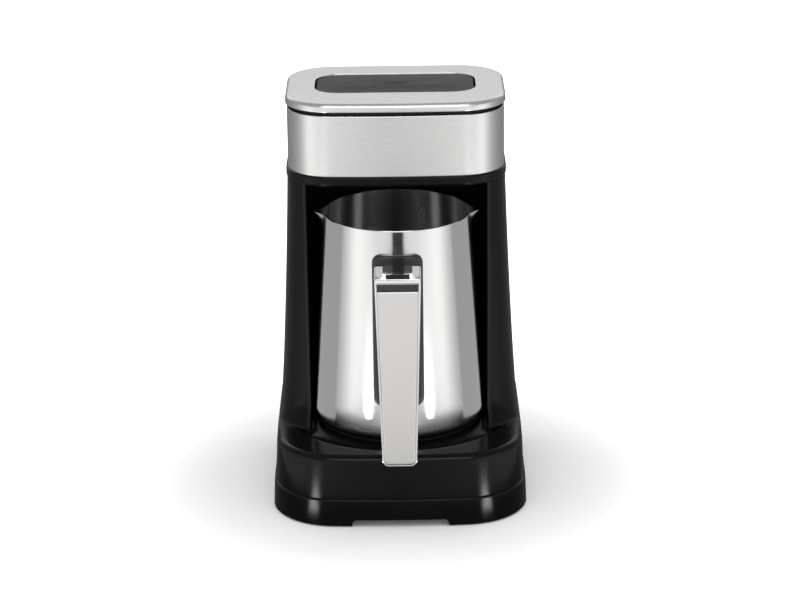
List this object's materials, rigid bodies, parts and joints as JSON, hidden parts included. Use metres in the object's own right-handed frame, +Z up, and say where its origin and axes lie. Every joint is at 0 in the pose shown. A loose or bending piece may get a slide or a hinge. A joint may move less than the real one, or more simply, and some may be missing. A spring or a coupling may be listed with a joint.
{
  "type": "electric turkish coffee maker",
  "caption": "Electric Turkish coffee maker: C-shaped black body, steel-banded head with a press panel on top, heated base, and a lift-out steel pot with side beaks and a slanted front handle.",
  "frame": {"origin": "on the surface that the feet stand on, in the middle of the overall width and depth", "axes": "+Z up; the front with the pot's handle faces -Y; +X is to the right seen from the front"},
  "size_m": [0.141, 0.1528, 0.2237],
  "materials": {
    "gloss_black_abs": "gloss moulded ABS",
    "satin_black_plastic": "fine-textured moulded plastic",
    "brushed_stainless": "vertical and circular brushing",
    "pot_stainless": "satin drawn stainless steel",
    "smoked_panel": "smoked gloss plastic",
    "chrome_plate": "bright chrome plating",
    "satin_silver": "satin anodised",
    "plate_plastic": "heat-resistant plastic",
    "feet_rubber": "matt rubber",
    "seal_silicone": "matt silicone",
    "cast_plate": "machined and coated",
    "element_sheath": "heat-tinted steel tube",
    "sheet_steel": "zinc-plated sheet",
    "screw_steel": "zinc-plated",
    "spring_steel": "drawn wire",
    "board_green": "lacquered board",
    "component_black": "moulded case",
    "relay_blue": "moulded case",
    "capacitor_yellow": "moulded case",
    "terminal_white": "nylon",
    "lead_sleeve": "silicone sleeve",
    "clear_window": "clear",
    "thermostat_ceramic": "pressed ceramic",
    "led_lens": "clear"
  },
  "bodies": {
    "machine": {"base_shell": "gloss_black_abs", "bottom_cover": "satin_black_plastic", "rubber_feet": "feet_rubber", "bottom_screws": "screw_steel", "hotplate_seal": "seal_silicone", "hotplate": "cast_plate", "heating_element": "element_sheath", "element_pins": "sheet_steel", "heat_shield": "sheet_steel", "hotplate_screws": "screw_steel", "thermostat": "thermostat_ceramic", "thermal_fuse": "sheet_steel", "sensor_housing": "satin_black_plastic", "sensor_spring": "spring_steel", "power_board": "board_green", "relay": "relay_blue", "filter_capacitor": "capacitor_yellow", "terminal_block": "terminal_white", "cord_gland": "feet_rubber", "head_harness": "lead_sleeve", "mains_leads": "lead_sleeve", "heater_leads": "lead_sleeve", "tower_shell": "gloss_black_abs", "rear_cover": "satin_black_plastic", "rear_cover_screws": "screw_steel", "bay_liner": "satin_black_plastic", "tower_screws": "screw_steel", "trim_ring": "gloss_black_abs", "head_underside": "satin_black_plastic", "sensor_window": "clear_window", "steel_band": "brushed_stainless", "head_chassis": "satin_black_plastic", "head_screws": "screw_steel", "foam_sensor": "component_black", "lid_gasket": "satin_black_plastic", "top_cap": "brushed_stainless", "cap_frame": "satin_black_plastic", "button_sleeves": "seal_silicone", "control_board": "board_green", "board_screws": "screw_steel", "tact_switch": "component_black", "buzzer": "component_black", "indicator_led": "led_lens", "light_guide": "led_lens"},
    "pot": {"pot_shell": "pot_stainless", "pot_base_disc": "sheet_steel", "handle_mount_plate": "plate_plastic", "handle_core": "satin_black_plastic", "handle_trim": "chrome_plate", "handle_face": "satin_silver", "handle_inlay": "gloss_black_abs", "handle_studs": "screw_steel"},
    "button": {"top_panel": "smoked_panel", "button_clips": "spring_steel"},
    "sensor": {"sensor_plunger": "sheet_steel"}
  },
  "joints": [
    {"name": "pot_lift_out", "type": "slide", "parent": "machine", "child": "pot", "axis": [0, -0.97, 0.2431], "range_m": [0, 0.15]},
    {"name": "panel_press", "type": "slide", "parent": "machine", "child": "button", "axis": [0, 0, -1], "range_m": [0, 0.0013], "stiffness_N_per_m": 1500, "springref_m": -0.0012, "deforming": ["button_sleeves"]},
    {"name": "sensor_press", "type": "slide", "parent": "machine", "child": "sensor", "axis": [0, 0, -1], "range_m": [0, 0.0012], "stiffness_N_per_m": 400, "springref_m": -0.003, "deforming": ["sensor_spring"]}
  ]
}
